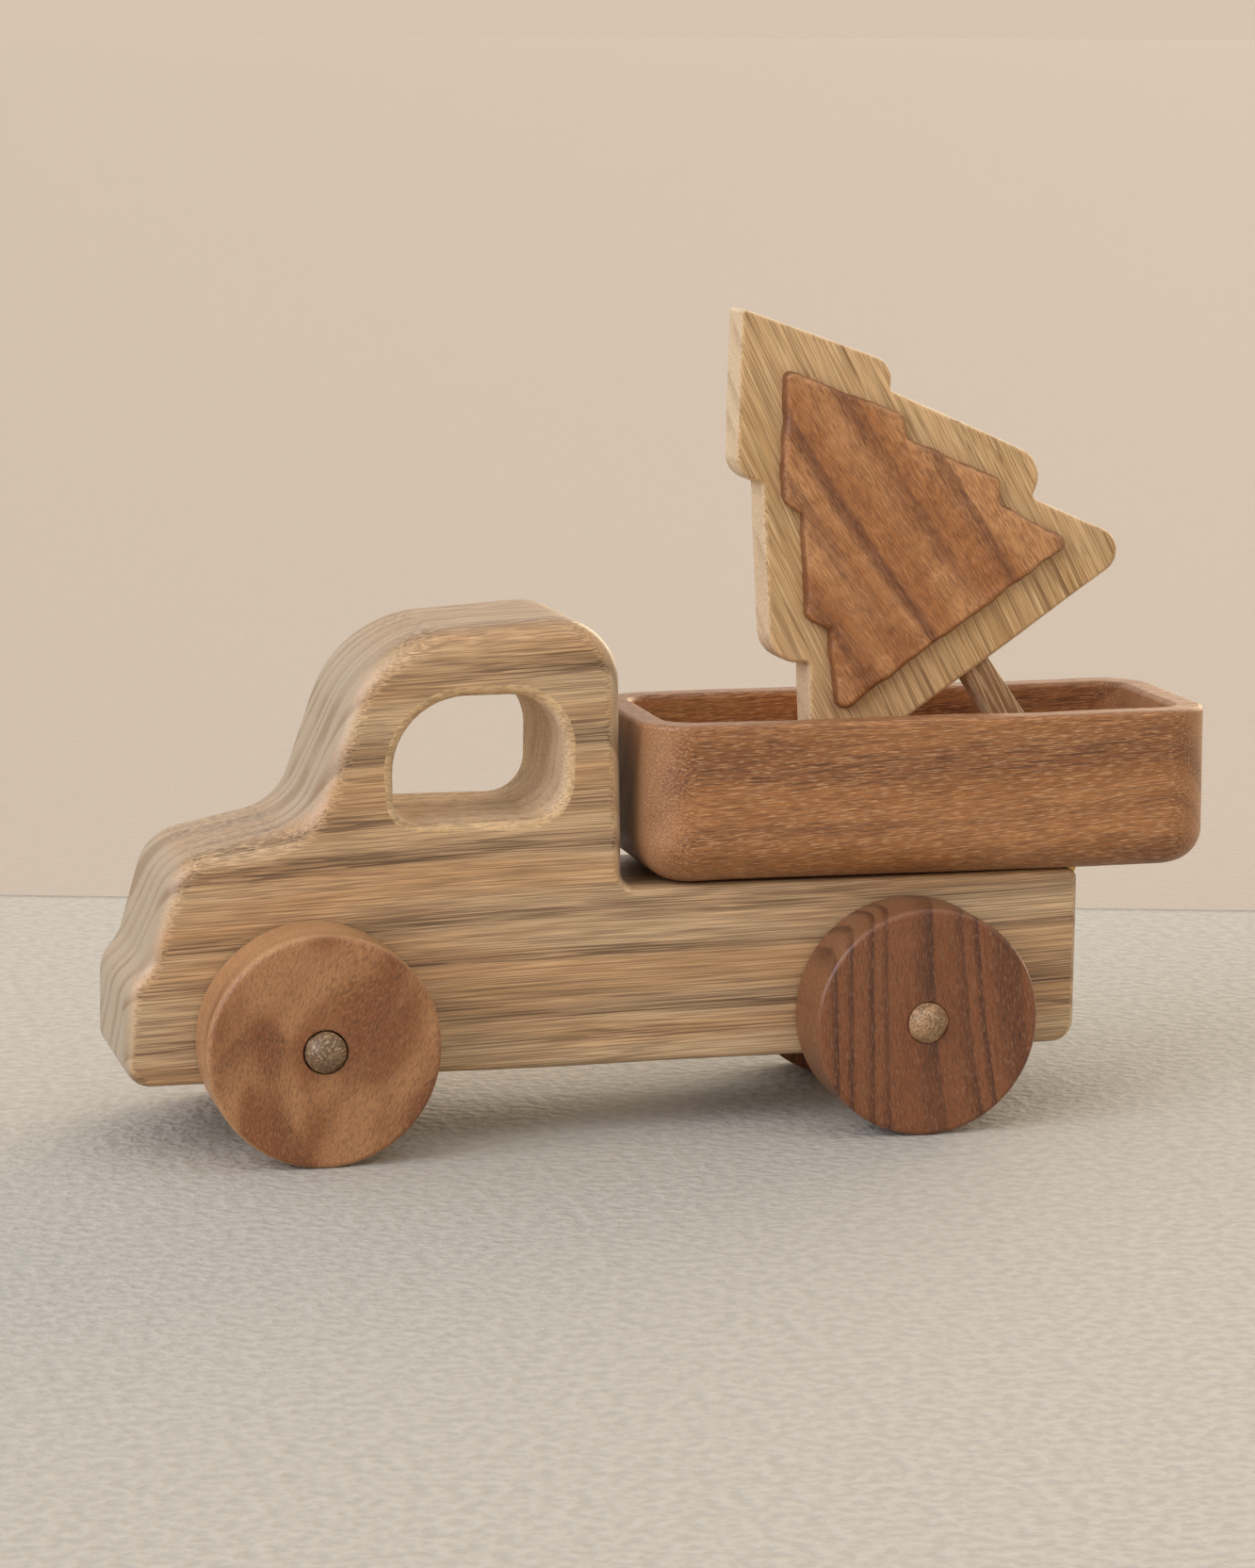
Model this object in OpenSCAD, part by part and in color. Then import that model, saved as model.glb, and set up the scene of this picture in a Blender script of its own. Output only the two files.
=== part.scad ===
// Wooden toy dump truck carrying a cut-out tree.
// Units are millimetres. +Z is up and -X is the front of the truck.
// The origin is on the floor, under the middle of the overall length and width.

/* [Wheels and axles] */
// Diameter of each wheel
wheel_d = 45; // [40:0.5:46]
// Thickness of each wheel
wheel_w = 16; // [10:0.5:18]
// Distance between the front and rear axles
wheelbase = 119; // [112:1:122]
// Diameter of the dowel axles
axle_d = 8; // [6:0.5:10]
// Clearance all round each axle in the chassis
axle_fit = 0.05; // [0.03:0.01:0.09]
// Side gap between a wheel and the chassis
side_gap = 0.5; // [0.4:0.1:1.5]
// How far each domed axle end stands out of its wheel
dome_h = 2.5; // [1.5:0.5:3]

/* [Cab and chassis board] */
// Thickness of the board, which is the width of the chassis
board_t = 38; // [34:1:42]
// Height of the underside above the floor
clearance_h = 13.6; // [12:0.2:15]
// Height of the deck above the floor
deck_h = 48.7; // [47:0.1:50]
// Height of the cab roof above the floor
roof_h = 102.1; // [99:0.1:106]
// Distance from the front axle forward to the bumper
nose_l = 35.6; // [34:0.1:38]
// Distance from the front axle back to the rear wall of the cab
cab_l = 61.6; // [60:0.1:63]
// Distance from the front axle back to the end of the chassis
tail_l = 155; // [152:1:158]

/* [Tray] */
// Length of the tray
tray_l = 116.5; // [112:0.5:117]
// Width of the tray
tray_w = 50; // [46:1:56]
// Height of the tray
tray_h = 31.7; // [30:0.1:36]
// Thickness of the tray walls at the rim
wall_t = 6; // [4:0.5:7]
// Depth of the hollow
hollow_d = 12.7; // [11:0.1:16]
// Gap between the tray and the rear wall of the cab
cab_gap = 3.9; // [3:0.1:8]
// Gap under the tray, kept open by the hinge
deck_gap = 0.3; // [0.2:0.1:0.5]

/* [Hinge] */
// Width of the hinge across the truck
hinge_w = 18; // [16:1:26]
// Length of each leaf
leaf_l = 14; // [12:1:16]
// Thickness of each leaf
leaf_t = 0.8; // [0.6:0.1:1]
// Outer radius of the knuckles
knuckle_r = 1.6; // [1.5:0.1:2]
// Diameter of the hinge pin
pin_d = 1.6; // [1.4:0.1:1.8]

/* [Tree] */
// Thickness of the tree board
tree_t = 10; // [8:1:12]
// Thickness of the darker panel glued to its face
panel_t = 3; // [2:0.5:4]
// Lean of the tree towards the cab, from upright
tree_lean = 34.5; // [30:0.5:38]
// Width of the trunk across the face of the tree
trunk_w = 6; // [5:0.5:8]
// Thickness of the trunk
trunk_t = 8; // [6:0.5:9]

/* [Hidden] */

// Small overlap, and how far cutters run past a face
eps = 0.01;
over = 1;
arc_steps = 6;
edge_steps = 4;

// Places along the truck, measured from the front axle until placed() moves them
axle_z = wheel_d / 2;
tray_front = cab_l + cab_gap;
tray_rear = tray_front + tray_l;
mid_x = (tray_rear - nose_l) / 2;
tray_z = deck_h + deck_gap;
rim_z = tray_z + tray_h;
floor_z = rim_z - hollow_d;

axle_l = board_t + 2 * (side_gap + wheel_w + dome_h);
dome_r = (axle_d * axle_d / 4 + dome_h * dome_h) / (2 * dome_h);
wheel_edge = 1;
bore_edge = 0.4;

// Cab and chassis outline seen from the left side: [x, z, corner radius, edge rounding]
body_outline = [
    [-nose_l, clearance_h, 5, 1.8],
    [tail_l, clearance_h, 4.5, 1.6],
    [tail_l, deck_h, 2, 1.2],
    [cab_l, deck_h, 3, 2],
    [cab_l, roof_h, 13, 4],
    [11.8, roof_h - 2.8, 24, 5],
    [-0.4, 62.9, 12, 5],
    [-26.4, 57.2, 10, 4.5],
    [-31.8, 37.5, 10, 4],
    [-nose_l, 32.6, 8, 3.5]];

// Cab window, with its edges flared outwards
window_outline = [
    [16.6, 62.7, 4.5, 1.5],
    [50.1, 62.7, 7.5, 2],
    [50.1, 87, 10.5, 2.2],
    [16.6, 87, 14.5, 2]];

// Tray seen from above; the edge rounding is scaled where it is used
tray_corner_r = 11;
tray_edge = 7;
tray_front_edge = 9;
rim_edge = 0.8;
hollow_edge = 3;
hollow_corner_r = tray_corner_r - wall_t + 1;

// Tree outline, with the base edge on x = 0: right half, [across, up, corner radius, edge rounding]
tree_base_x = 138.3;
tree_half = [
    [41.4, 0, 4.8, 0.6],
    [27.9, 21.4, 1, 0.6],
    [35, 25, 6, 0.6],
    [15.7, 56.2, 1, 0.6],
    [19.6, 60, 5, 0.6]];
tree_apex = [0, 87, 0.8, 0.6];

panel_half = [
    [29.3, 9.7, 1.8, 1.2],
    [21.6, 24.6, 0.8, 1.2],
    [23.8, 29.2, 2.4, 1.2],
    [12.9, 47, 0.8, 1.2],
    [14.9, 51.2, 2.6, 1.2]];
panel_apex = [0, 72.5, 1.3, 1.2];

// The trunk is as long as it must be for it and the left tip to stand on the floor of the tray
tree_gap = 0.2;
tip_r = tree_half[0][2];
tip_x = tree_half[0][0] - tip_r * sqrt(3);
tip_drop = tip_x * sin(tree_lean) - tip_r * cos(tree_lean) + tip_r;
trunk_l = (tip_drop - trunk_w / 2 * sin(tree_lean)) / cos(tree_lean);
tree_base_z = floor_z + tree_gap + tip_drop;
tenon_d = 5;
tenon_l = 10;

hinge_x = tail_l + knuckle_r;
hinge_z = tray_z - knuckle_r;
knuckle_l = 8;
knuckle_gap = 0.3;
pin_fit = 0.04;
screw_d = 1.8;
screw_head_d = 3.6;
screw_fit = 0.1;
screw_l = 9;
screw_y = 5.5;
screw_share = 0.55;
screw_at = knuckle_r + leaf_l * screw_share;

function unit(v) = v / norm(v);

// Points of one rounded corner, as [x, y, outward x, outward y, edge rounding]
function corner_arc(a, b, c, n) =
    let (
        to_a = unit([a[0] - b[0], a[1] - b[1]]),
        to_c = unit([c[0] - b[0], c[1] - b[1]]),
        half = acos(to_a * to_c) / 2,
        turn = cross(-to_a, to_c) > 0 ? 180 - 2 * half : 2 * half - 180,
        side = sign(turn),
        centre = [b[0], b[1]] + unit(to_a + to_c) * b[2] / sin(half),
        start = atan2(to_a[0], -to_a[1]))
    [for (k = [0:n])
        let (t = start + turn * k / n, out = [cos(t), sin(t)], p = centre + side * b[2] * out)
        [p[0], p[1], out[0], out[1], b[3]]];

// All points of an outline given as anticlockwise corners
function rounded_points(corners, n) =
    let (m = len(corners))
    [for (i = [0:m - 1])
        each corner_arc(corners[(i + m - 1) % m], corners[i], corners[(i + 1) % m], n)];

// One ring of a slab: t = 0 is the face, t = 90 is the full outline
function edge_ring(points, t, z0, up, scale) =
    [for (p = points)
        let (e = p[4] * scale, inset = e * (1 - sin(t)))
        [p[0] - p[2] * inset, p[1] - p[3] * inset, z0 + up * abs(e) * (1 - cos(t))]];

// Slab from z = 0 to h with rounded edges; low and high scale the rounding of each face,
// a negative scale flares the edge, and over carries the flared face on past z = h and z = 0
module rounded_slab(corners, h, low, high, over_low = 0, over_high = 0, steps = edge_steps) {
    points = rounded_points(corners, arc_steps);
    n = len(points);
    low_ts = low == 0 ? [90] : [for (k = [0:steps]) 90 * k / steps];
    high_ts = high == 0 ? [90] : [for (k = [0:steps]) 90 - 90 * k / steps];
    rings = concat(
        over_low > 0 ? [edge_ring(points, 0, -over_low, 1, low)] : [],
        [for (t = low_ts) edge_ring(points, t, 0, 1, low)],
        [for (t = high_ts) edge_ring(points, t, h, -1, high)],
        over_high > 0 ? [edge_ring(points, 0, h + over_high, -1, high)] : []);
    m = len(rings);
    polyhedron(
        points = [for (ring = rings) each ring],
        faces = concat(
            [[for (i = [0:n - 1]) i]],
            [for (j = [0:m - 2], i = [0:n - 1], half = [0, 1])
                let (a = j * n + i, b = j * n + (i + 1) % n)
                half == 0 ? [a, b + n, b] : [a, a + n, b + n]],
            [[for (i = [n - 1:-1:0]) (m - 1) * n + i]]),
        convexity = 8);
}

// Stands a slab up so that its outline lies in the X-Z plane, centred on y
module upright(t, y = 0) {
    translate([0, y + t / 2, 0]) rotate([90, 0, 0]) children();
}

// Moves from the front axle's frame to the frame of the whole truck
module placed() {
    translate([-mid_x, 0, 0]) children();
}

module across(x, z) {
    translate([x, 0, z]) rotate([90, 0, 0]) children();
}

// Profile of a solid of revolution, from rounded corners
module turned(corners) {
    rotate_extrude($fn = 96)
        polygon([for (p = rounded_points(corners, arc_steps)) [p[0], p[1]]]);
}

module chassis() {
    color("#c8a67a") placed() difference() {
        upright(board_t) rounded_slab(body_outline, board_t, 1, 1);
        upright(board_t) rounded_slab(window_outline, board_t, -1, -1, over, over);
        for (x = [0, wheelbase])
            across(x, axle_z)
                cylinder(h = board_t + 2 * over, r = axle_d / 2 + axle_fit, center = true, $fn = 64);
        for (y = [-screw_y, screw_y])
            translate([tail_l + eps, y, tray_z - screw_at])
                rotate([0, -90, 0]) cylinder(h = screw_l, d = screw_d, $fn = 24);
    }
}

module axle(x) {
    h = axle_l / 2;
    dome = [for (k = [0:arc_steps])
        let (t = asin(axle_d / 2 / dome_r) * k / arc_steps)
        [dome_r * sin(t), h - dome_r * (1 - cos(t))]];
    outline = concat(dome, [for (k = [arc_steps:-1:0]) [dome[k][0], -dome[k][1]]]);
    placed() across(x, axle_z) rotate_extrude($fn = 64) polygon(outline);
}

module front_axle() {
    color("#9a7350") axle(0);
}

module rear_axle() {
    color("#c0986c") axle(wheelbase);
}

// side is -1 on the left of the truck and 1 on its right
module wheel(x, side) {
    r = wheel_d / 2;
    b = axle_d / 2;
    inner_y = board_t / 2 + side_gap;
    placed() translate([x, side * inner_y, axle_z]) rotate([-90 * side, 0, 0])
        turned([[b, 0, bore_edge, 0], [r, 0, wheel_edge, 0],
            [r, wheel_w, wheel_edge, 0], [b, wheel_w, bore_edge, 0]]);
}

module wheel_front_left() {
    color("#9b6137") wheel(0, -1);
}

module wheel_front_right() {
    color("#9b6137") wheel(0, 1);
}

module wheel_rear_left() {
    color("#7a4a30") wheel(wheelbase, -1);
}

module wheel_rear_right() {
    color("#7a4a30") wheel(wheelbase, 1);
}

// Corners of a rounded rectangle round the tray, inset by d, seen from above
function tray_corners(d, r, front, rear) =
    let (x0 = tray_front + d, x1 = tray_rear - d, y = tray_w / 2 - d)
    [[x0, -y, r, front], [x1, -y, r, rear], [x1, y, r, rear], [x0, y, r, front]];

module tray() {
    color("#8a5233") placed() difference() {
        translate([0, 0, tray_z])
            rounded_slab(tray_corners(0, tray_corner_r, tray_front_edge / tray_edge, 1),
                tray_h, tray_edge, rim_edge, steps = 5);
        translate([0, 0, floor_z])
            rounded_slab(tray_corners(wall_t, hollow_corner_r, 1, 1), hollow_d, hollow_edge,
                -rim_edge, over_high = over);
        for (y = [-screw_y, screw_y])
            translate([tail_l + screw_at, y, tray_z - eps])
                cylinder(h = screw_l, d = screw_d, $fn = 24);
    }
}

// Bands of y that hold the knuckles of one leaf
function knuckles(on_tray) =
    on_tray ? [[-knuckle_l / 2, knuckle_l / 2]] :
        [[-hinge_w / 2, -knuckle_l / 2 - knuckle_gap], [knuckle_l / 2 + knuckle_gap, hinge_w / 2]];

// Leaf lying flat under z = 0 and reaching along +X, with the pin axis at [0, 0, -knuckle_r]
module leaf(on_tray, bore_r) {
    plate_x = knuckle_r + knuckle_gap;
    difference() {
        union() {
            translate([plate_x, -hinge_w / 2, -leaf_t])
                cube([leaf_l + knuckle_r - plate_x, hinge_w, leaf_t]);
            for (band = knuckles(on_tray)) {
                translate([0, band[0], -leaf_t])
                    cube([plate_x + eps, band[1] - band[0], leaf_t]);
                translate([0, band[0], -knuckle_r]) rotate([-90, 0, 0])
                    cylinder(h = band[1] - band[0], r = knuckle_r, $fn = 48);
            }
        }
        translate([0, -hinge_w / 2 - over, -knuckle_r]) rotate([-90, 0, 0])
            cylinder(h = hinge_w + 2 * over, r = bore_r, $fn = 48);
        for (y = [-screw_y, screw_y])
            translate([screw_at - knuckle_r, y, -leaf_t - eps]) {
                cylinder(h = leaf_t + over, d = screw_d + 2 * screw_fit, $fn = 24);
                cylinder(h = leaf_t, d1 = screw_head_d + 2 * screw_fit,
                    d2 = screw_d + 2 * screw_fit, $fn = 24);
            }
    }
}

// Countersunk screws that hold one leaf, with their heads flush with its outer face
module screws() {
    for (y = [-screw_y, screw_y])
        translate([screw_at - knuckle_r, y, -leaf_t]) {
            cylinder(h = leaf_t, d1 = screw_head_d, d2 = screw_d, $fn = 24);
            cylinder(h = screw_l + leaf_t - over, d = screw_d, $fn = 24);
        }
}

// Places a leaf and its screws under the tray
module on_tray() {
    placed() translate([hinge_x, 0, tray_z]) children();
}

// Places a leaf and its screws on the end of the chassis, turned down
module on_chassis() {
    placed() translate([tail_l, 0, hinge_z]) rotate([0, 90, 0]) mirror([0, 0, 1]) children();
}

module hinge_leaf_tray() {
    color("#b8924a") on_tray() leaf(true, pin_d / 2 + pin_fit);
}

module hinge_leaf_chassis() {
    color("#b8924a") on_chassis() leaf(false, pin_d / 2);
}

module hinge_pin() {
    color("#c9a860") placed() across(hinge_x, hinge_z)
        cylinder(h = hinge_w, d = pin_d, center = true, $fn = 48);
}

module hinge_screws_tray() {
    color("#c9a860") on_tray() screws();
}

module hinge_screws_chassis() {
    color("#c9a860") on_chassis() screws();
}

// Whole outline from its right half and its apex, anticlockwise
function both_sides(half, apex) = concat(
    half, [apex],
    [for (i = [len(half) - 1:-1:0]) [-half[i][0], half[i][1], half[i][2], half[i][3]]]);

// Leans what is drawn on the tree's base edge and stands it in the tray
module leaned() {
    placed() translate([tree_base_x, 0, tree_base_z]) rotate([0, -tree_lean, 0]) children();
}

module tree_board() {
    color("#cfa871") leaned() difference() {
        upright(tree_t) rounded_slab(both_sides(tree_half, tree_apex), tree_t, 1, 1, steps = 2);
        translate([0, 0, -eps]) cylinder(h = tenon_l, d = tenon_d, $fn = 48);
    }
}

module tree_panel() {
    color("#8f5a36") leaned() upright(panel_t, -(tree_t + panel_t) / 2)
        rounded_slab(both_sides(panel_half, panel_apex), panel_t, 0, 1);
}

module tree_trunk() {
    color("#b8925f") leaned() {
        translate([-trunk_w / 2, -trunk_t / 2, -trunk_l]) cube([trunk_w, trunk_t, trunk_l]);
        translate([0, 0, -over]) cylinder(h = tenon_l, d = tenon_d, $fn = 48);
    }
}

chassis();
front_axle();
wheel_front_left();
wheel_front_right();
rear_axle();
wheel_rear_left();
wheel_rear_right();
tray();
hinge_leaf_chassis();
hinge_leaf_tray();
hinge_pin();
hinge_screws_chassis();
hinge_screws_tray();
tree_board();
tree_panel();
tree_trunk();
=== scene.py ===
"""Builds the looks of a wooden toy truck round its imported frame.

It is laid out as an add-on and run as a script.
"""
import math

import bmesh
import bpy
from bpy.props import FloatProperty, FloatVectorProperty, PointerProperty
from mathutils import Matrix, Vector, kdtree, noise
from mathutils.geometry import delaunay_2d_cdt


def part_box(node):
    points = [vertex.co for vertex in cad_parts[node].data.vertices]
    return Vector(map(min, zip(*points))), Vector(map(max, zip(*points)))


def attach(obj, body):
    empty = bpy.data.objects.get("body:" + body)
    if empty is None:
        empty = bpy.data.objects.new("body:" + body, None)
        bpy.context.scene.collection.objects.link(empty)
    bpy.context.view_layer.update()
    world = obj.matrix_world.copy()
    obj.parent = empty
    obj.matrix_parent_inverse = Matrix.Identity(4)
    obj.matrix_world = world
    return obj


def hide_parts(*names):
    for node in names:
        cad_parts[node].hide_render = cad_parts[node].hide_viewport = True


bl_info = {
    "name": "Wooden Toy Truck",
    "version": (1, 0, 0),
    "blender": (4, 5, 0),
    "location": "View3D > Sidebar > Toy Truck",
    "description": "Builds a wooden toy truck with a tipping tray and a cut-out tree",
    "category": "Add Mesh",
}

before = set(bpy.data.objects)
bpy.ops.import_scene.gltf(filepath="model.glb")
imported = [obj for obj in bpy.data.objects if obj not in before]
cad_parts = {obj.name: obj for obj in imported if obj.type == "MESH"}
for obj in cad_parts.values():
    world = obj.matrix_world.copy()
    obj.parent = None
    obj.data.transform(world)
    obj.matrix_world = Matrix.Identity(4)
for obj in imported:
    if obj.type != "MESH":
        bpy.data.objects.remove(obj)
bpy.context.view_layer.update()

# Lengths inside the script are millimetres, and one Blender unit is a metre.
MM = 0.001
CORNER_STEPS = 12
EDGE_STEPS = 8
QUARTER = math.pi / 2
ALONG_TRUCK = Vector((1, 0, 0))
ACROSS_TRUCK = Vector((0, 1, 0))
UPWARDS = Vector((0, 0, 1))


def box_mm(node):
    """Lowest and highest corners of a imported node, in millimetres."""
    low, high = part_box(node)
    return low / MM, high / MM


def middle_mm(node):
    """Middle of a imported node's box, in millimetres."""
    low, high = box_mm(node)
    return (low + high) / 2


FRONT_AXLE = middle_mm("front_axle")
REAR_AXLE = middle_mm("rear_axle")
BOARD_LOW, BOARD_HIGH = box_mm("chassis")
TRAY_LOW, TRAY_HIGH = box_mm("tray")
DOWEL_LOW, DOWEL_HIGH = box_mm("front_axle")
DOWEL_RADIUS = (DOWEL_HIGH.z - DOWEL_LOW.z) / 2
# How much wider the holes are than the dowel: it turns in the board and is glued at the rear
BORE_SLACK = 0.05
GLUE_SLACK = 0.03


def linear(code):
    """Turns an sRGB hex colour into linear red, green and blue."""
    parts = [int(code[i:i + 2], 16) / 255 for i in (0, 2, 4)]
    return [p / 12.92 if p <= 0.04045 else ((p + 0.055) / 1.055) ** 2.4 for p in parts]


def length(name, value, description):
    """A length that a user may change, given in millimetres and kept in metres."""
    return FloatProperty(name=name, description=description, default=value * MM, min=0.0,
                         precision=5, unit="LENGTH")


def colour(name, code, description):
    """A colour that a user may change, given as sRGB hex."""
    return FloatVectorProperty(name=name, description=description, default=linear(code), size=3,
                               min=0.0, max=1.0, subtype="COLOR")


# ---------------------------------------------------------------------------------------------
# Sizes and colours that a user would change
# ---------------------------------------------------------------------------------------------

class BoardSizes(bpy.types.PropertyGroup):
    """Sizes of the board that is cab and chassis"""
    deck_gap: length("Deck gap", 0.3, "Gap between the deck and the tray above it")
    cab_gap: length("Cab gap", 3.9, "Gap between the rear wall of the cab and the tray")
    roof: length("Roof height", 102.1, "Height at which the lines of roof and rear wall would meet")
    hand_sanding: length("Hand sanding", 0.16, "How far the sanded surfaces wander from true")


class WheelSizes(bpy.types.PropertyGroup):
    """Sizes of the wheels and their dowels"""
    edge: length("Edge rounding", 1.1, "Rounding of the wheel's rims")
    bore_edge: length("Bore rounding", 0.35, "Rounding of the edge round the dowel's hole")
    dome: length("Dome", 2.5, "How far the dowel's end stands out of the wheel")
    slack: length("Front dowel slack", 0.28, "Shadow gap between the front dowel and its hole")


class TraySizes(bpy.types.PropertyGroup):
    """Sizes of the tipping tray"""
    wall: length("Wall", 6.0, "Thickness of the walls at the rim")
    depth: length("Depth", 12.7, "Depth of the hollow below the rim")
    corner: length("Corner radius", 11.0, "Radius of the upright corners outside")
    bottom_edge: length("Bottom rounding", 7.0, "Rounding of the underside's edges")
    front_edge: length("Front rounding", 9.0, "Rounding of the underside's edge next to the cab")


class TreeSizes(bpy.types.PropertyGroup):
    """Sizes of the cut-out tree"""
    lean: FloatProperty(name="Lean", description="Lean of the tree towards the cab, from upright",
                        default=math.radians(34.5), unit="ROTATION")
    board: length("Board thickness", 10.0, "Thickness of the pale board")
    panel: length("Panel thickness", 3.0, "Thickness of the darker panel glued on its face")
    trunk: length("Trunk width", 6.0, "Width of the trunk across the face of the tree")
    trunk_depth: length("Trunk thickness", 8.0, "Thickness of the trunk")


class WoodColours(bpy.types.PropertyGroup):
    """Colours of the woods and the brass"""
    ash: colour("Ash", "D1B38B", "Sapwood of the board")
    ash_warm: colour("Ash, warm", "CB9F70", "Warmer zones of the board")
    ash_streak: colour("Ash, streak", "806242", "Grey-brown late wood of the board")
    # Painted shade: a darker, browner tone laid on the board's tops and rounded edges by the way they
    # face.
    ash_edge_shade: colour("Ash, edges", "95795A", "Browner top edges of the board")
    # Partly the paler end grain, partly a painted sheen on the bumper and the windscreen.
    ash_end_grain_and_sheen: colour("Ash, end grain", "AB9D89", "End grain at the bumper and the windscreen")
    teak: colour("Teak", "AD7544", "Ground colour of the tray")
    teak_dark: colour("Teak, dark", "6E3F24", "Dark lines of the tray and the panel")
    # Painted shade: a darker, browner tone on the tray's rim, underside and hollow, laid by the way
    # they face.
    teak_edge_shade: colour("Teak, edges", "80593C", "Browner rim of the tray")
    panel: colour("Panel", "C8905C", "Ground colour of the tree's panel")
    wheel: colour("Front wheels", "AF7D52", "Ground colour of the front wheels")
    wheel_dark: colour("Front wheels, dark", "7C4A28", "Clouds and lines of the front wheels")
    # Partly the paler end grain of the treads, partly a painted sheen on them.
    wheel_tread_and_sheen: colour("Front wheels, treads", "BF9468", "Paler treads of the front wheels")
    walnut: colour("Rear wheels", "844F2B", "Ground colour of the rear wheels")
    walnut_dark: colour("Rear wheels, dark", "4A2614", "Stripes of the rear wheels")
    # Partly the paler end grain of the treads, partly a painted sheen on them.
    walnut_tread_and_sheen: colour("Rear wheels, treads", "8A6243", "Paler treads of the rear wheels")
    dowel: colour("Rear dowel", "AE8862", "Rear axle dowel")
    dowel_grey: colour("Front dowel", "8C6E50", "Front axle dowel")
    honey: colour("Tree", "DBB482", "Ground colour of the tree's board")
    honey_warm: colour("Tree, warm", "C89F69", "Warmer zones of the tree's board")
    stick: colour("Trunk", "997450", "Ground colour of the trunk")
    honey_line: colour("Tree, lines", "94714A", "Fine lines of the tree's board")
    # Painted sheen: this paler tone on the tree's edges stands for light falling from the left.
    honey_edge_sheen: colour("Tree, edges", "E0CFB2", "Paler sawn edges of the tree's board")
    brass: colour("Brass", "C9A45A", "Hinge and screws")


class StageSettings(bpy.types.PropertyGroup):
    """Floor, light and camera"""
    cloth: colour("Floor", "B5B1A8", "Pale cloth on which the truck stands")
    paper: colour("Backdrop", "B6AA9D", "Warmer tone of the ground far behind the truck")
    fold: length("Fold", 224, "Distance behind the truck at which the cloth meets the paper")
    walls: colour("Walls", "DCC9B6", "Tone of the studio's walls, just above the floor")
    ceiling: colour("Ceiling", "FFFBF4", "Tone of the studio's bright ceiling")
    daylight: FloatProperty(name="Daylight", description="Strength of the even light all round",
                            default=0.95, min=0.0)
    window: FloatProperty(name="Window", description="Strength of the cool light on the left",
                          default=1.6, min=0.0)
    sun: FloatProperty(name="Low sun", description="Strength of the low warm light from behind",
                       default=2.2, min=0.0)
    distance: length("Camera distance", 940.6, "Distance from the camera to the point it looks at")
    lens: FloatProperty(name="Lens", description="Focal length of the camera, in millimetres",
                        default=109.23, min=1.0)


# ---------------------------------------------------------------------------------------------
# Shapes
# ---------------------------------------------------------------------------------------------

def rounded(corners, spans, arc=CORNER_STEPS):
    """Points round an anticlockwise outline of (x, y, radius, edge) corners.

    Each point is (place, outward direction, edge rounding). spans(length) says into how many
    stretches a straight side is cut.
    """
    points = []

    def add_side(start, end):
        count = spans((end[0] - start[0]).length)
        for k in range(1, count):
            share = k / count
            points.append((start[0].lerp(end[0], share), start[1].lerp(end[1], share).normalized(),
                           start[2] + (end[2] - start[2]) * share))

    for i, (x, y, radius, edge) in enumerate(corners):
        here = Vector((x, y))
        to_last = (Vector(corners[i - 1][:2]) - here).normalized()
        to_next = (Vector(corners[(i + 1) % len(corners)][:2]) - here).normalized()
        half = to_last.angle(to_next) / 2
        side = 1 if to_next.cross(to_last) > 0 else -1
        centre = here + (to_last + to_next).normalized() * radius / math.sin(half)
        start = math.atan2(to_last.x, -to_last.y)
        corner = []
        for k in range(arc + 1):
            turn = start + side * (math.pi - 2 * half) * k / arc
            out = Vector((math.cos(turn), math.sin(turn)))
            corner.append((centre + out * radius * side, out, edge))
        if points:
            add_side(points[-1], corner[0])
        points += corner
    add_side(points[-1], points[0])
    return points


def every(step):
    """Cuts a side into stretches of about step millimetres."""
    return lambda side: max(1, math.ceil(side / step))


def is_inside(point, rim):
    """Whether a flat point lies inside a closed rim of flat points."""
    inside = False
    for a, b in zip(rim, rim[1:] + rim[:1]):
        if (a.y > point.y) != (b.y > point.y):
            if point.x < a.x + (b.x - a.x) * (point.y - a.y) / (b.y - a.y):
                inside = not inside
    return inside


def upright(u, v, w):
    """A board that stands along the truck: u is length, v is height and w is width."""
    return Vector((u, w, v))


def lying(u, v, w):
    """A block seen from above: u is length, v is width and w is height."""
    return Vector((u, v, w))


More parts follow.
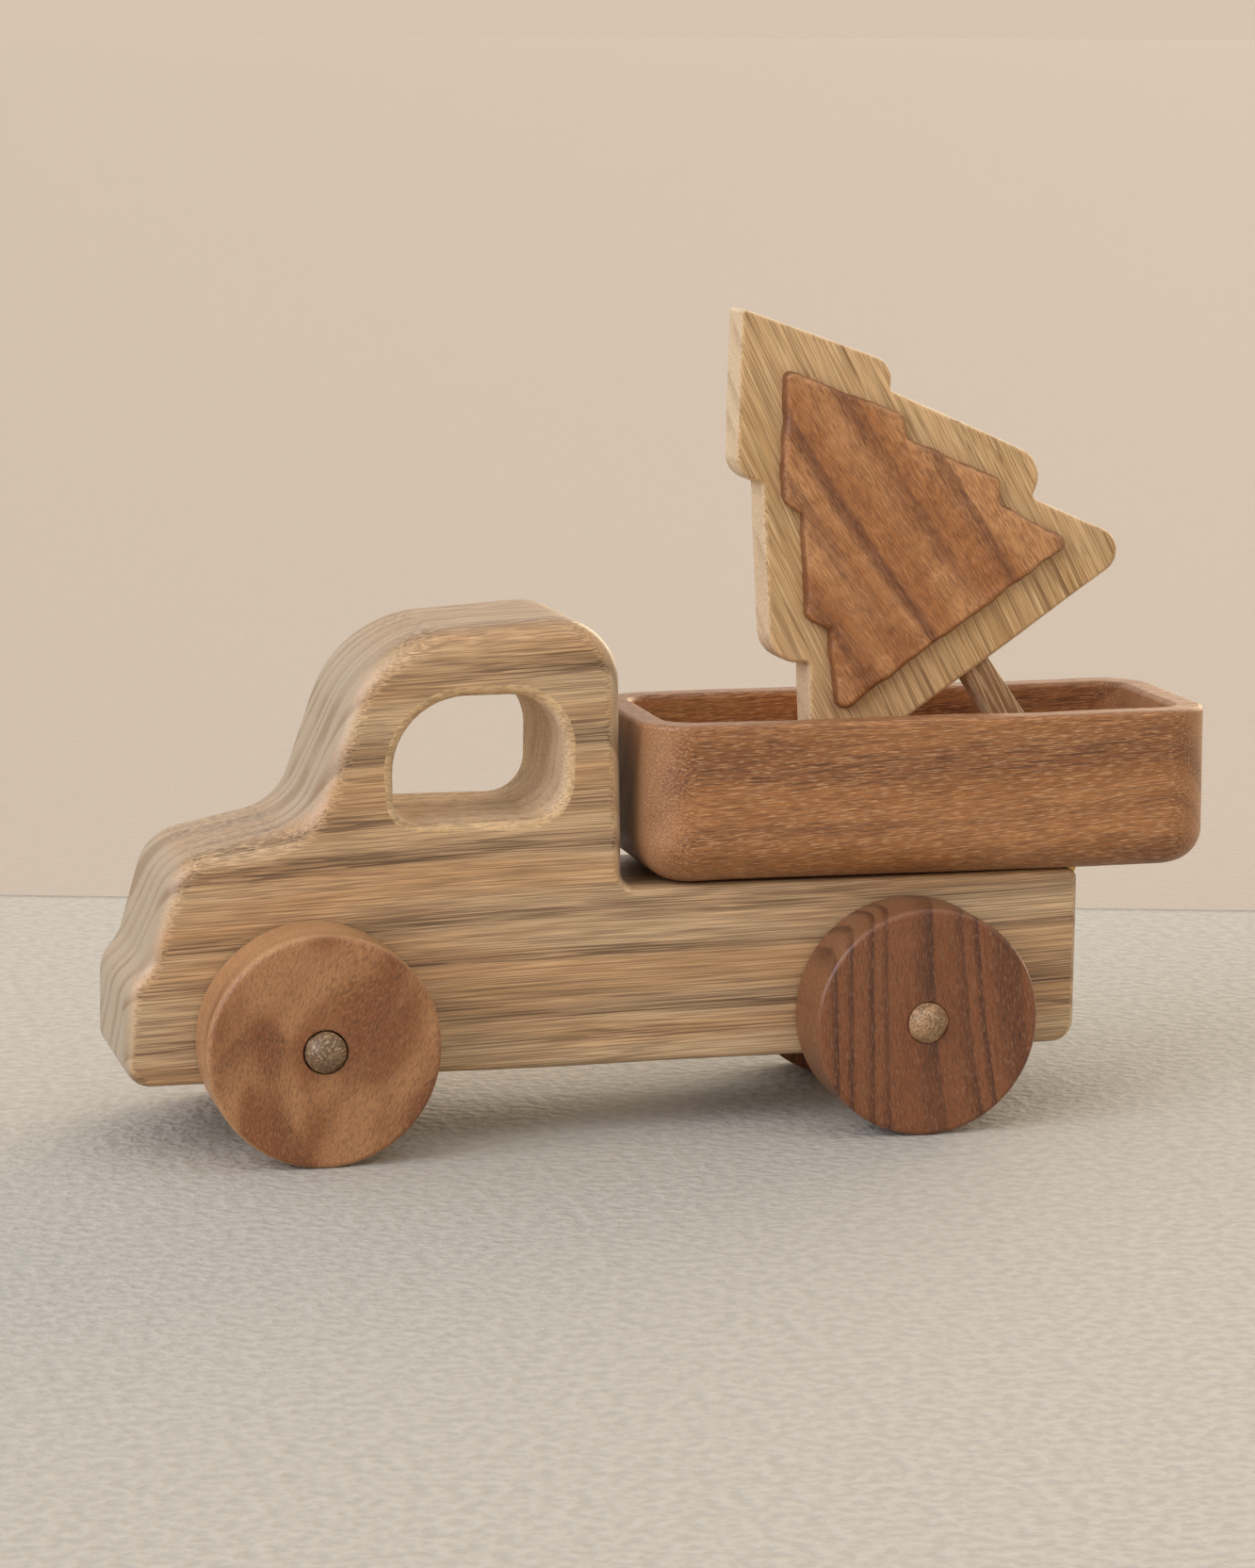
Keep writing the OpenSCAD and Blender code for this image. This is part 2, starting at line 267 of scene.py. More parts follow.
class Skin:
    """A closed wooden surface as it grows: its points, the way each one faces, and its faces."""

    def __init__(self, place):
        self.place = place
        self.points, self.facing, self.flat, self.faces = [], [], [], []

    def point(self, u, v, w, facing):
        """Adds one point and returns its number."""
        self.points.append(self.place(u, v, w))
        self.facing.append(facing.normalized())
        self.flat.append(Vector((u, v)))
        return len(self.points) - 1

    def edge_loop(self, outline, turn, height, up, wood=1, bulge=1, scale=1.0):
        """One loop of an outline's edge: turn 0 lies in the face at height, and 90 degrees on the wall.

        up is the way from the face into the block. wood is 1 where the outline holds the wood and -1
        where it is a hole. bulge is 1 to round inwards from the outline and -1 to flare outwards.
        """
        loop = []
        for place, out, edge in outline:
            edge = edge * scale
            spot = place - out * edge * bulge * (1 - math.sin(turn))
            across = out * wood * math.sin(turn)
            facing = self.place(across.x, across.y, -up * wood * bulge * math.cos(turn))
            loop.append(self.point(spot.x, spot.y, height + up * edge * (1 - math.cos(turn)), facing))
        return loop

    def wall_loop(self, outline, height, wood=1):
        """One loop of the outline itself, part of the way along its wall."""
        return [self.point(place.x, place.y, height, self.place(out.x * wood, out.y * wood, 0))
                for place, out, _ in outline]

    def join(self, loops):
        """Faces between each loop and the next. A loop of one point is the tip of a fan."""
        for low, high in zip(loops, loops[1:]):
            count = max(len(low), len(high))
            for i in range(count):
                k = (i + 1) % count
                face = [low[i % len(low)], low[k % len(low)], high[k % len(high)], high[i % len(high)]]
                self.faces.append(list(dict.fromkeys(face)))

    def cover(self, loops, height, facing, step):
        """Fills the flat face inside the first loop and outside the others with an even net."""
        rims = [[self.flat[i] for i in loop] for loop in loops]
        known = [i for loop in loops for i in loop]
        flat = [self.flat[i] for i in known]
        edges = []
        for loop in loops:
            first = len(edges)
            edges += [(first + k, first + (k + 1) % len(loop)) for k in range(len(loop))]
        tree = kdtree.KDTree(len(flat))
        for i, spot in enumerate(flat):
            tree.insert(spot.to_3d(), i)
        tree.balance()
        low_u, high_u = min(p.x for p in rims[0]), max(p.x for p in rims[0])
        low_v, high_v = min(p.y for p in rims[0]), max(p.y for p in rims[0])
        row = step * math.sqrt(3) / 2
        for j in range(int((high_v - low_v) / row) + 1):
            for i in range(int((high_u - low_u) / step) + 1):
                spot = Vector((low_u + (i + j % 2 / 2) * step, low_v + j * row))
                if tree.find(spot.to_3d())[2] < step * 0.6 or not is_inside(spot, rims[0]):
                    continue
                if any(is_inside(spot, rim) for rim in rims[1:]):
                    continue
                known.append(self.point(spot.x, spot.y, height, self.place(0, 0, facing)))
                flat.append(spot)
        spots, _, faces, sources, _, _ = delaunay_2d_cdt(flat, edges, [], 1, 1e-5)
        on_rim = len(edges)
        for face in faces:
            ends = [sources[i][0] for i in face]
            if max(ends) < on_rim:
                centre = sum((spots[i] for i in face), Vector((0, 0))) / len(face)
                if any(is_inside(centre, rim) for rim in rims[1:]):
                    continue
            self.faces.append([known[i] for i in ends])

    def revolve(self, profile, centre, segments, closed):
        """Turns a profile of (radius, along, outward radius, outward along) about an axis along Y."""
        loops = []
        for radius, along, out, out_along in profile:
            count = segments if radius > 0 else 1
            loop = []
            for k in range(count):
                turn = 2 * math.pi * k / segments
                x, z = math.cos(turn), math.sin(turn)
                facing = Vector((out * x, out_along, out * z))
                self.points.append(Vector((centre.x + radius * x, along, centre.z + radius * z)))
                self.facing.append(facing.normalized())
                loop.append(len(self.points) - 1)
            loops.append(loop)
        self.join(loops + loops[:1] if closed else loops)

    def build(self, name, wander=(), move=Matrix.Identity(4)):
        """Makes the object. wander lists the (size, amount) of hand-made unevenness, in millimetres."""
        turn = move.to_3x3()
        points, normals = [], []
        for spot, facing in zip(self.points, self.facing):
            spot, facing = move @ spot, turn @ facing
            slope = Vector((0, 0, 0))
            lift = 0.0
            for size, amount in wander:
                lift += amount * noise.noise(spot / size)
                for axis in (ALONG_TRUCK, ACROSS_TRUCK, UPWARDS):
                    nudge = axis * size * 0.05
                    rise = noise.noise((spot + nudge) / size) - noise.noise((spot - nudge) / size)
                    slope += axis * amount * rise / (2 * nudge.length)
            points.append((spot + facing * lift) * MM)
            normals.append((facing - (slope - facing * slope.dot(facing))).normalized())
        mesh = bpy.data.meshes.new(name)
        mesh.from_pydata(points, [], self.faces, shade_flat=False)
        shape = bmesh.new()
        shape.from_mesh(mesh)
        bmesh.ops.recalc_face_normals(shape, faces=shape.faces[:])
        shape.to_mesh(mesh)
        shape.free()
        mesh.normals_split_custom_set_from_vertices(normals)
        piece = bpy.data.objects.new(name, mesh)
        bpy.context.scene.collection.objects.link(piece)
        return piece


def turns(first, last, steps=EDGE_STEPS):
    """Angles in even steps from first to last."""
    return [first + (last - first) * k / steps for k in range(steps + 1)]


def finish_piece(piece, node, body, material):
    """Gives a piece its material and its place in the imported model."""
    piece.data.materials.append(material)
    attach(piece, body)
    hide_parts(node)


# ---------------------------------------------------------------------------------------------
# Materials
# ---------------------------------------------------------------------------------------------

MIX_A, MIX_B, MIX_OUT = 6, 7, 2


def add(tree, kind, inputs, out=0, **settings):
    """Adds a node, sets it up, fills its inputs from values or outputs, and returns one output."""
    made = tree.nodes.new("ShaderNode" + kind)
    for key, value in settings.items():
        setattr(made, key, value)
    for key, value in inputs.items():
        if isinstance(value, bpy.types.NodeSocket):
            tree.links.new(value, made.inputs[key])
        else:
            made.inputs[key].default_value = value
    return made.outputs[out]


def rgba(value):
    """A linear colour with full opacity, as shader sockets want it."""
    return (*value, 1.0)


def new_material(name):
    """An empty material with its node tree and its shader."""
    material = bpy.data.materials.new(name)
    material.use_nodes = True
    tree = material.node_tree
    tree.nodes.clear()
    shader = tree.nodes.new("ShaderNodeBsdfPrincipled")
    output = tree.nodes.new("ShaderNodeOutputMaterial")
    tree.links.new(shader.outputs[0], output.inputs["Surface"])
    return material, tree, shader


def marks(tree, place, along, across, detail=0.0, out=0):
    """Noise drawn out along the grain: its marks are about along by across millimetres."""
    drawn = add(tree, "VectorMath", {0: place, 1: (1 / along, 1 / across, 1 / across)},
                operation="MULTIPLY")
    return add(tree, "TexNoise", {"Vector": drawn, "Scale": 1.0, "Detail": detail}, out)


def band(tree, value, low, high, to_low=0.0, to_high=1.0):
    """Turns a value between low and high smoothly into one between to_low and to_high."""
    return add(tree, "MapRange", {0: value, 1: low, 2: high, 3: to_low, 4: to_high},
               interpolation_type="SMOOTHSTEP")


def mixed(tree, share, low, high, **settings):
    """One colour laid over another by a share."""
    return add(tree, "Mix", {0: share, MIX_A: low, MIX_B: high}, MIX_OUT, data_type="RGBA", **settings)


def product(tree, *values):
    """Several values or outputs multiplied together."""
    result = values[0]
    for value in values[1:]:
        result = add(tree, "Math", {0: result, 1: value}, operation="MULTIPLY")
    return result


def log_coordinates(tree, cut):
    """Millimetres along, across and through the timber, swaying as real grain does."""
    grain, face = cut["grain"].normalized(), cut["face"].normalized()
    face = (face - grain * face.dot(grain)).normalized()
    turn = Matrix((grain, face.cross(grain), face)).to_euler()
    body = add(tree, "TexCoord", {}, "Object")
    straight = add(tree, "Mapping", {"Vector": body, "Scale": (1 / MM,) * 3, "Rotation": turn,
                                     "Location": cut["log_place"]})
    sway = marks(tree, straight, cut["sway_length"], cut["sway_length"] / 3, out=1)
    sway = add(tree, "VectorMath", {0: sway, 1: (0.5, 0.5, 0.5)}, operation="SUBTRACT")
    sway = add(tree, "VectorMath", {0: sway, 1: (0, cut["sway"], cut["sway"])}, operation="MULTIPLY")
    return add(tree, "VectorMath", {0: straight, 1: sway}, operation="ADD"), grain, face


def turned_to(tree, way, low, high, to_low, to_high):
    """Goes from to_low to to_high as the surface turns to face a direction, or its opposite."""
    facing = add(tree, "TexCoord", {}, "Normal")
    along = add(tree, "VectorMath", {0: facing, 1: way}, 1, operation="DOT_PRODUCT")
    along = add(tree, "Math", {0: along}, operation="ABSOLUTE")
    return band(tree, along, low, high, to_low, to_high)


def growth_rings(tree, place, cut):
    """1 in the dark late wood of each year, fading into the pale early wood before it."""
    heart = add(tree, "VectorMath", {0: place, 1: (0, *cut["heart"])}, operation="SUBTRACT")
    heart = add(tree, "VectorMath", {0: heart, 1: (0, 1, 1)}, operation="MULTIPLY")
    age = add(tree, "VectorMath", {0: heart}, 1, operation="LENGTH")
    age = product(tree, age, 1 / cut["ring"])
    season = add(tree, "TexNoise", {"W": age, "Scale": 0.45, "Detail": 1.0}, noise_dimensions="1D")
    age = add(tree, "Math", {0: season, 1: 2.2, 2: age}, operation="MULTIPLY_ADD")
    year = add(tree, "Math", {0: age}, operation="FRACT")
    return product(tree, band(tree, year, 0.38, 0.85), band(tree, year, 0.88, 1.0, 1.0, 0.0))


def sawn_wood(name, cut, colours, figure, shine):
    """Solid timber: growth rings round a far heart, streaks, fibres, flecks, and edges and end grain
    toned by the way they face, which holds painted light and shade.

    cut says how the piece lay in its log. colours are hex or linear: ground, warm, streak, line,
    fleck, edge and end. figure gives the size in millimetres, along and across the grain, and the
    strength of each kind of mark. Real fibres and pores are finer than 0.2 mm across, so fibre,
    hair and fleck are drawn coarser than that so that they show.
    """
    material, tree, shader = new_material(name)
    tints = {key: rgba(linear(value) if isinstance(value, str) else value)
             for key, value in colours.items()}
    place, grain, face = log_coordinates(tree, cut)
    ring = growth_rings(tree, place, cut)
    patch = band(tree, marks(tree, place, *figure["streak"], 1.0), 0.44, 0.58)
    cloud = band(tree, marks(tree, place, *figure["cloud"], 1.0), 0.36, 0.64)
    fine = marks(tree, place, *figure["fibre"], 1.0)
    fibre = band(tree, fine, figure["fibre_from"], figure["fibre_from"] + 0.07)
    hair = band(tree, marks(tree, place, *figure["hair"], 1.0), 0.42, 0.6)
    fleck = marks(tree, place, *figure["fleck"])
    fleck = band(tree, fleck, figure["fleck_from"], figure["fleck_from"] + 0.06)

    # The broad face shows the figure best. Its edges and its end grain take colours of their own by the
    # way they face, partly their real tone and partly painted light and shade, as each wood below says.
    edge = turned_to(tree, face, 0.35, 0.93, figure["edge_tone_and_painted_light_share"], 0.0)
    end = turned_to(tree, grain, 0.3, 0.9, 0.0, figure["end_tone_and_painted_light_share"])
    side = turned_to(tree, grain, 0.2, 0.6, 1.0, figure["end_marks"])

    always = figure["ring_everywhere"]
    streak = add(tree, "Math", {0: patch, 1: 1 - always, 2: always}, operation="MULTIPLY_ADD")
    streak = product(tree, streak, ring)
    thick = add(tree, "Math", {0: streak, 1: 1 - figure["fibre_everywhere"],
                               2: figure["fibre_everywhere"]}, operation="MULTIPLY_ADD")
    whole = mixed(tree, cloud, tints["ground"], tints["warm"])
    whole = mixed(tree, edge, whole, tints["edge"])
    whole = mixed(tree, end, whole, tints["end"])
    whole = mixed(tree, product(tree, streak, figure["streak_depth"]), whole, tints["streak"])
    whole = mixed(tree, product(tree, fleck, side, figure["fleck_depth"]), whole, tints["fleck"])
    whole = mixed(tree, product(tree, hair, side, figure["hair_depth"]), whole, tints["streak"])
    lines = product(tree, fibre, thick, side, figure["fibre_depth"])
    whole = mixed(tree, lines, whole, tints["line"])
    tree.links.new(whole, shader.inputs["Base Color"])

    dull = band(tree, fine, 0.3, 0.7, shine["rough"] - 0.05, shine["rough"] + 0.09)
    tree.links.new(dull, shader.inputs["Roughness"])
    shader.inputs["Coat Weight"].default_value = shine["oil"]
    shader.inputs["Coat Roughness"].default_value = shine["oil_rough"]
    relief = add(tree, "Math", {0: fine, 1: -1.0, 2: 1.0}, operation="MULTIPLY_ADD")
    relief = add(tree, "Bump", {"Height": relief, "Strength": 1.0, "Distance": shine["relief"] * MM})
    tree.links.new(relief, shader.inputs["Normal"])
    return material


# How the chassis board lay in its log
BOARD_CUT = {"grain": Vector((1, 0, 0.03)), "face": ACROSS_TRUCK, "log_place": (0, 0, 0),
             "heart": (-120, 80), "ring": 5.5, "sway": 5.0, "sway_length": 170}


def oiled_ash():
    """Ash, planed, sanded and oiled: satin, with grey-brown streaks made of fine dark fibres."""
    tint = bpy.context.scene.toy_truck_colours
    # The edge colour here is painted shade on the board's tops and rounded edges.
    colours = {"ground": tint.ash, "warm": tint.ash_warm, "streak": tint.ash_streak,
               # The end colour is partly the paler end grain and partly a painted sheen on the bumper
               # and the windscreen.
               "line": "5A4029", "fleck": "DFB88C", "edge": tint.ash_edge_shade, "end": tint.ash_end_grain_and_sheen}
    figure = {"streak": (90, 10), "streak_depth": 0.66, "ring_everywhere": 0.5, "cloud": (80, 9),
              "fibre": (42, 0.3), "fibre_from": 0.51, "fibre_depth": 0.85, "fibre_everywhere": 0.42,
              "hair": (18, 0.24), "hair_depth": 0.5, "fleck": (16, 0.4), "fleck_from": 0.56,
              "fleck_depth": 0.5, "edge_tone_and_painted_light_share": 0.6, "end_tone_and_painted_light_share": 0.8, "end_marks": 0.15}
    return sawn_wood("oiled_ash", BOARD_CUT, colours, figure,
                     {"rough": 0.46, "oil": 0.3, "oil_rough": 0.24, "relief": 0.07})


def rough_ash():
    """The same ash inside the window, cut with a coarse rasp: dull and paler, with short marks."""
    colours = {"ground": "E0BE90", "warm": "D2AE80", "streak": "9E8462", "line": "866A4A",
               "fleck": "EAD0A8", "edge": "D8BE9C", "end": "D0BA9E"}
    figure = {"streak": (20, 6), "streak_depth": 0.4, "ring_everywhere": 0.5, "cloud": (12, 5),
              "fibre": (3, 0.5), "fibre_from": 0.5, "fibre_depth": 0.6, "fibre_everywhere": 0.6,
              "hair": (2, 0.5), "hair_depth": 0.4, "fleck": (2, 0.5), "fleck_from": 0.56,
              "fleck_depth": 0.5, "edge_tone_and_painted_light_share": 0.6, "end_tone_and_painted_light_share": 0.6, "end_marks": 0.8}
    return sawn_wood("rough_ash", BOARD_CUT, colours, figure,
                     {"rough": 0.75, "oil": 0.0, "oil_rough": 0.3, "relief": 0.15})


def oiled_teak():
    """Teak, carved and oiled: reddish, with short pale pores and fine dark lines."""
    tint = bpy.context.scene.toy_truck_colours
    cut = {"grain": Vector((1, 0, 0.05)), "face": ACROSS_TRUCK, "log_place": (40, 13, 7),
           "heart": (-90, 60), "ring": 7.0, "sway": 6.0, "sway_length": 130}
    # The edge colour is painted shade on the rim, underside and hollow. The pale end colour is partly
    # end grain and partly a painted pinkish sheen on the tray's ends and corners.
    colours = {"ground": tint.teak, "warm": "9E6736", "streak": tint.teak_dark, "line": "53301A",
               "fleck": "D3A678", "edge": tint.teak_edge_shade, "end": "C89C76"}
    figure = {"streak": (70, 9), "streak_depth": 0.5, "ring_everywhere": 0.35, "cloud": (60, 8),
              "fibre": (9, 0.28), "fibre_from": 0.53, "fibre_depth": 0.75, "fibre_everywhere": 0.5,
              "hair": (4, 0.24), "hair_depth": 0.4, "fleck": (2.1, 0.21), "fleck_from": 0.57,
              "fleck_depth": 0.55, "edge_tone_and_painted_light_share": 0.55, "end_tone_and_painted_light_share": 0.35, "end_marks": 0.8}
    return sawn_wood("oiled_teak", cut, colours, figure,
                     {"rough": 0.48, "oil": 0.12, "oil_rough": 0.26, "relief": 0.07})


def panel_teak():
    """Teak offcut, sawn and oiled: grain up the tree, dark diagonal streaks, and painted shade on its
    edges.
    """
    tint = bpy.context.scene.toy_truck_colours
    cut = {"grain": Vector((-0.55, 0, 0.83)), "face": ACROSS_TRUCK, "log_place": (5, 31, 17),
           "heart": (-60, 50), "ring": 9.0, "sway": 8.0, "sway_length": 90}
    # The dark edge and end colours are painted shade along the panel's edges.
    colours = {"ground": tint.panel, "warm": "AA6E3C", "streak": tint.teak_dark, "line": "56331C",
               "fleck": "CC9A6C", "edge": "6B4226", "end": "5E3A22"}
    figure = {"streak": (60, 8), "streak_depth": 0.8, "ring_everywhere": 0.2, "cloud": (50, 9),
              "fibre": (7, 0.3), "fibre_from": 0.53, "fibre_depth": 0.6, "fibre_everywhere": 0.5,
              "hair": (3, 0.24), "hair_depth": 0.4, "fleck": (2.4, 0.26), "fleck_from": 0.6,
              "fleck_depth": 0.25, "edge_tone_and_painted_light_share": 0.75, "end_tone_and_painted_light_share": 0.5, "end_marks": 0.5}
    return sawn_wood("panel_teak", cut, colours, figure,
                     {"rough": 0.46, "oil": 0.12, "oil_rough": 0.26, "relief": 0.05})


def wheel_teak():
    """Teak disc, turned and oiled: orange-brown, finely speckled, with blurred darker clouds."""
    tint = bpy.context.scene.toy_truck_colours
    cut = {"grain": Vector((0.35, 0.1, 0.93)), "face": ACROSS_TRUCK, "log_place": (3, 51, 27),
           "heart": (-30, 26), "ring": 13.0, "sway": 16.0, "sway_length": 60}
    # The tread colour is partly the paler end grain and partly a painted sheen.
    colours = {"ground": tint.wheel, "warm": "86502A", "streak": tint.wheel_dark, "line": "52341C",
               "fleck": "BF8F60", "edge": tint.wheel_tread_and_sheen, "end": tint.wheel_tread_and_sheen}
    figure = {"streak": (30, 12), "streak_depth": 0.75, "ring_everywhere": 0.25, "cloud": (20, 9),
              "fibre": (1.4, 0.32), "fibre_from": 0.54, "fibre_depth": 0.6, "fibre_everywhere": 0.6,
              "hair": (0.8, 0.3), "hair_depth": 0.25, "fleck": (0.9, 0.3), "fleck_from": 0.58,
              "fleck_depth": 0.25, "edge_tone_and_painted_light_share": 0.6, "end_tone_and_painted_light_share": 0.4, "end_marks": 0.8}
    return sawn_wood("wheel_teak", cut, colours, figure,
                     {"rough": 0.5, "oil": 0.14, "oil_rough": 0.24, "relief": 0.05})


def wheel_walnut():
    """Walnut disc, turned and oiled: dark red-brown, with upright stripes across its face."""
    tint = bpy.context.scene.toy_truck_colours
    cut = {"grain": Vector((-0.1, 0, 1)), "face": ACROSS_TRUCK, "log_place": (11, 3, 47),
           "heart": (-140, 33), "ring": 5.4, "sway": 8.0, "sway_length": 60}
    # The tread colour is partly the paler end grain and partly a painted sheen.
    colours = {"ground": tint.walnut, "warm": "7E4824", "streak": tint.walnut_dark, "line": "3A1E10",
               "fleck": "AE8060", "edge": tint.walnut_tread_and_sheen, "end": tint.walnut_tread_and_sheen}
    figure = {"streak": (40, 9), "streak_depth": 0.85, "ring_everywhere": 0.65, "cloud": (30, 8),
              "fibre": (2.2, 0.32), "fibre_from": 0.54, "fibre_depth": 0.6, "fibre_everywhere": 0.55,
              "hair": (1.2, 0.3), "hair_depth": 0.25, "fleck": (1.2, 0.3), "fleck_from": 0.6,
              "fleck_depth": 0.35, "edge_tone_and_painted_light_share": 0.5, "end_tone_and_painted_light_share": 0.3, "end_marks": 0.8}
    return sawn_wood("wheel_walnut", cut, colours, figure,
                     {"rough": 0.44, "oil": 0.18, "oil_rough": 0.22, "relief": 0.05})


def dowel_beech(name, ground, dark):
    """Beech dowel, sawn off and rounded by hand: speckled end grain, dull at the tip."""
    cut = {"grain": Vector((0.9, 1, 0.3)), "face": UPWARDS, "log_place": (2, 1, 5),
           "heart": (-14, 9), "ring": 2.2, "sway": 2.0, "sway_length": 20}
    colours = {"ground": ground, "warm": dark, "streak": dark, "line": "4C3624", "fleck": "CDB592",
               "edge": ground, "end": ground}
    figure = {"streak": (5, 2), "streak_depth": 0.5, "ring_everywhere": 0.5, "cloud": (6, 2.5),
              "fibre": (1.4, 0.4), "fibre_from": 0.52, "fibre_depth": 0.7, "fibre_everywhere": 0.6,
              "hair": (0.8, 0.4), "hair_depth": 0.4, "fleck": (1.2, 0.4), "fleck_from": 0.58,
              "fleck_depth": 0.5, "edge_tone_and_painted_light_share": 0.0, "end_tone_and_painted_light_share": 0.0, "end_marks": 1.0}
    return sawn_wood(name, cut, colours, figure,
                     {"rough": 0.5, "oil": 0.12, "oil_rough": 0.25, "relief": 0.06})


def tree_ash(name, ground, warm):
    """Ash, sawn and left open: honey-coloured, with many fine lines up the tree."""
    tint = bpy.context.scene.toy_truck_colours
    cut = {"grain": Vector((-0.45, 0, 0.88)), "face": ACROSS_TRUCK, "log_place": (9, 21, 3),
           "heart": (-120, 60), "ring": 5.0, "sway": 4.0, "sway_length": 120}
    # The edge and end colour is a painted sheen on the edges of the tree and its trunk.
    colours = {"ground": ground, "warm": warm, "streak": tint.honey_line, "line": "73522F",
               "fleck": "E6C898", "edge": tint.honey_edge_sheen, "end": tint.honey_edge_sheen}
    figure = {"streak": (60, 7), "streak_depth": 0.35, "ring_everywhere": 0.3, "cloud": (50, 14),
              "fibre": (24, 0.26), "fibre_from": 0.53, "fibre_depth": 0.75, "fibre_everywhere": 0.6,
              "hair": (12, 0.22), "hair_depth": 0.4, "fleck": (14, 0.3), "fleck_from": 0.55,
              "fleck_depth": 0.55, "edge_tone_and_painted_light_share": 0.7, "end_tone_and_painted_light_share": 0.5, "end_marks": 0.3}
    return sawn_wood(name, cut, colours, figure,
                     {"rough": 0.55, "oil": 0.06, "oil_rough": 0.3, "relief": 0.06})


def brushed_brass():
    """Pressed brass strip, brushed along its length: warm metal with fine dull scratches."""
    material, tree, shader = new_material("brushed_brass")
    body = add(tree, "TexCoord", {}, "Object")
    # The scratches are about 0.3 mm apart and 8 mm long, coarser than real ones so that they show
    drawn = add(tree, "VectorMath", {0: body, 1: (1 / (0.3 * MM), 1 / (8 * MM), 1 / (0.3 * MM))},
                operation="MULTIPLY")
    scratch = add(tree, "TexNoise", {"Vector": drawn, "Scale": 1.0, "Detail": 2.0})
    tone = band(tree, scratch, 0.3, 0.7, 0.82, 1.0)
    tint = mixed(tree, 1.0, rgba(bpy.context.scene.toy_truck_colours.brass), tone,
                 blend_type="MULTIPLY")
    tree.links.new(tint, shader.inputs["Base Color"])
    tree.links.new(band(tree, scratch, 0.3, 0.7, 0.38, 0.22), shader.inputs["Roughness"])
    shader.inputs["Metallic"].default_value = 1.0
    return material


def floor_cloth():
    """Plain pale cloth with soft 2.5 mm dimples, painted shade in their hollows and a painted shade
    line at the fold, and smooth paper beyond the fold behind the truck.
    """
    stage = bpy.context.scene.toy_truck_stage
    material, tree, shader = new_material("floor_cloth")
    body = add(tree, "TexCoord", {}, "Object")
    # The fold runs square to the camera, at a slight angle to the truck
    away = add(tree, "VectorMath", {0: body, 1: (0.29, 0.957, 0)}, 1, operation="DOT_PRODUCT")
    far = band(tree, away, stage.fold - 0.5 * MM, stage.fold + 0.5 * MM)
    # Painted shade: a 5 mm band of the cloth darkens towards the fold, where the cloth meets the paper.
    near = band(tree, away, stage.fold - 5 * MM, stage.fold, 1.0, 0.62)
    dimple = add(tree, "TexNoise", {"Vector": body, "Scale": 1 / (2.5 * MM), "Detail": 2.0})
    # Painted shade: the cloth's tone follows the dimples and is darker in their hollows.
    grain = product(tree, band(tree, dimple, 0.3, 0.7, 0.9, 1.08), near)
    cloth = mixed(tree, 1.0, rgba(stage.cloth), grain, blend_type="MULTIPLY")
    tone = mixed(tree, far, cloth, rgba(stage.paper))
    tree.links.new(tone, shader.inputs["Base Color"])
    shader.inputs["Roughness"].default_value = 0.9
    bump = add(tree, "Bump", {"Height": dimple, "Strength": 0.8, "Distance": 1.1 * MM})
    tree.links.new(bump, shader.inputs["Normal"])
    return material


# ---------------------------------------------------------------------------------------------
# Pieces
# ---------------------------------------------------------------------------------------------

def body_corners(sizes):
    """Outline of the cab and chassis: (x, z, corner radius, edge rounding)."""
    nose, tail, under = BOARD_LOW.x, BOARD_HIGH.x, BOARD_LOW.z
    axle, roof = FRONT_AXLE.x, sizes.roof / MM
    cab = TRAY_LOW.x - sizes.cab_gap / MM
    deck = TRAY_LOW.z - sizes.deck_gap / MM
    return [(nose, under, 5, 1.8), (tail, under, 4.5, 1.6), (tail, deck, 2, 1.2), (cab, deck, 3, 2),
            (cab, roof, 13, 4), (axle + 11.8, roof - 2.8, 24, 5), (axle - 0.4, 62.9, 12, 5),
            (axle - 26.4, 57.2, 10, 4.5), (axle - 31.8, 37.5, 10, 4), (nose, 32.6, 8, 3.5)]


def window_corners():
    """Outline of the cab window: (x, z, corner radius, edge rounding)."""
    axle = FRONT_AXLE.x
    return [(axle + 16.6, 62.7, 4.5, 1.5), (axle + 50.1, 62.7, 7.5, 2), (axle + 50.1, 87, 10.5, 2.2),
            (axle + 16.6, 87, 14.5, 2)]


def bore_outline(centre, radius, edge):
    """Circle of an axle's hole, with its edge just broken."""
    ways = [Vector((math.cos(t), math.sin(t))) for t in turns(0, 2 * math.pi, 48)[:-1]]
    return [(Vector((centre.x, centre.z)) + way * radius, way, edge) for way in ways]


